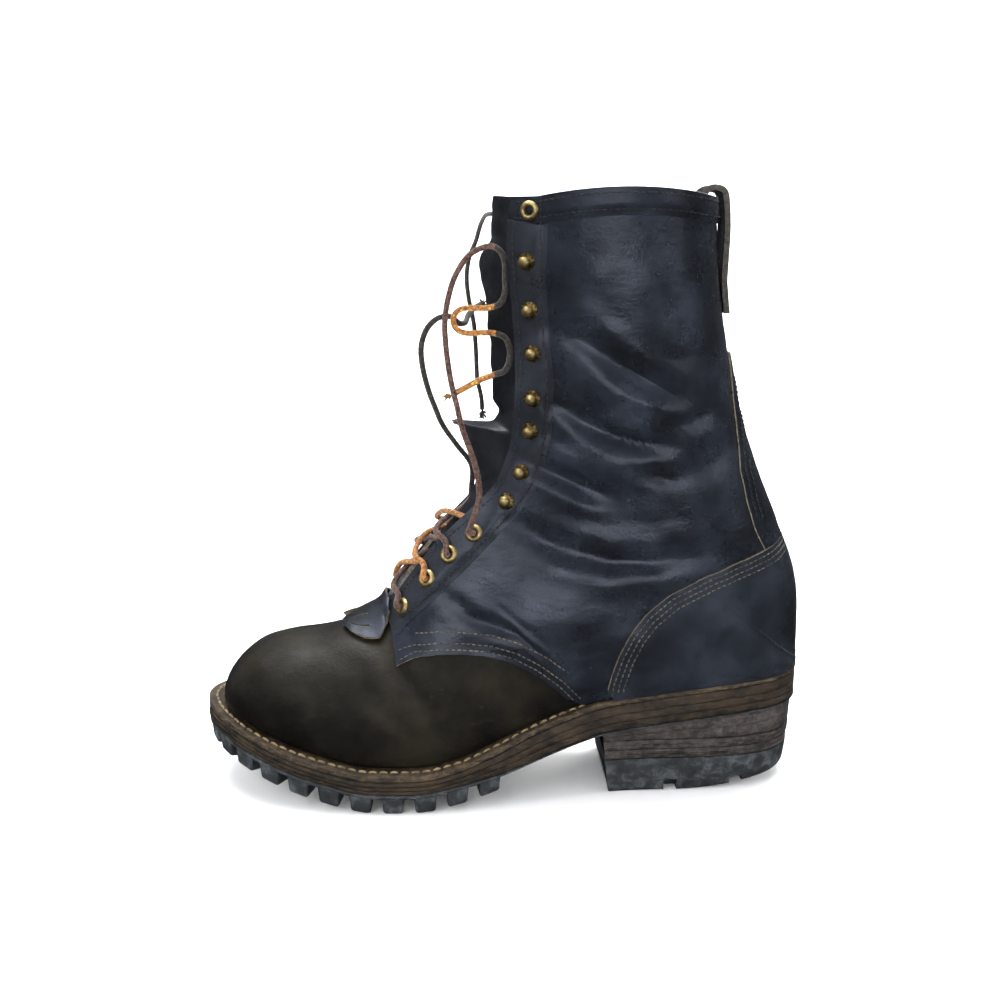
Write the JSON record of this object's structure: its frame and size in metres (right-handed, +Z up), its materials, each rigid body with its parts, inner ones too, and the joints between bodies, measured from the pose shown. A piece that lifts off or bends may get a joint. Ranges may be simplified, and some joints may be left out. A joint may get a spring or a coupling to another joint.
{
  "type": "logger boot",
  "caption": "Left logger boot: tall lace-up leather shaft, raised leather heel, lugged rubber sole, brass eyelets and lace hooks, kiltie.",
  "frame": {"origin": "middle of the bounding box's floor rectangle, on the floor", "axes": "-X towards the toe, +X towards the heel, -Y towards the lateral (outer) side, +Z up"},
  "size_m": [0.318, 0.1116, 0.3101],
  "materials": {
    "shaft_leather": "satin",
    "worn_leather": "matte",
    "tongue_leather": "satin",
    "sole_leather": "matte",
    "insole_leather": "matte",
    "rubber": "matte",
    "brass": "satin",
    "lace": "matte"
  },
  "bodies": {
    "root": {"upper": "shaft_leather", "counter": "worn_leather", "backstay": "shaft_leather", "collar_band": "shaft_leather", "eyestay_lateral": "worn_leather", "eyestay_medial": "worn_leather", "tongue": "tongue_leather", "kiltie": "worn_leather", "pull_loop": "worn_leather", "welt": "sole_leather", "insole": "insole_leather", "midsole": "sole_leather", "outsole": "rubber", "heel_lift_1": "sole_leather", "heel_lift_2": "sole_leather", "heel_lift_3": "sole_leather", "top_lift": "rubber", "lace_crossings": "lace", "lace_tail_lateral": "lace", "lace_tail_medial": "lace", "lace_strand_medial": "lace", "eyelet_lateral_1": "brass", "eyelet_lateral_2": "brass", "eyelet_lateral_3": "brass", "eyelet_lateral_4": "brass", "eyelet_lateral_5": "brass", "eyelet_medial_1": "brass", "eyelet_medial_2": "brass", "eyelet_medial_3": "brass", "eyelet_medial_4": "brass", "eyelet_medial_5": "brass", "hook_lateral_1": "brass", "hook_lateral_2": "brass", "hook_lateral_3": "brass", "hook_lateral_4": "brass", "hook_lateral_5": "brass", "hook_lateral_6": "brass", "hook_lateral_7": "brass", "hook_medial_1": "brass", "hook_medial_2": "brass", "hook_medial_3": "brass", "hook_medial_4": "brass", "hook_medial_5": "brass", "hook_medial_6": "brass", "hook_medial_7": "brass"}
  },
  "joints": []
}
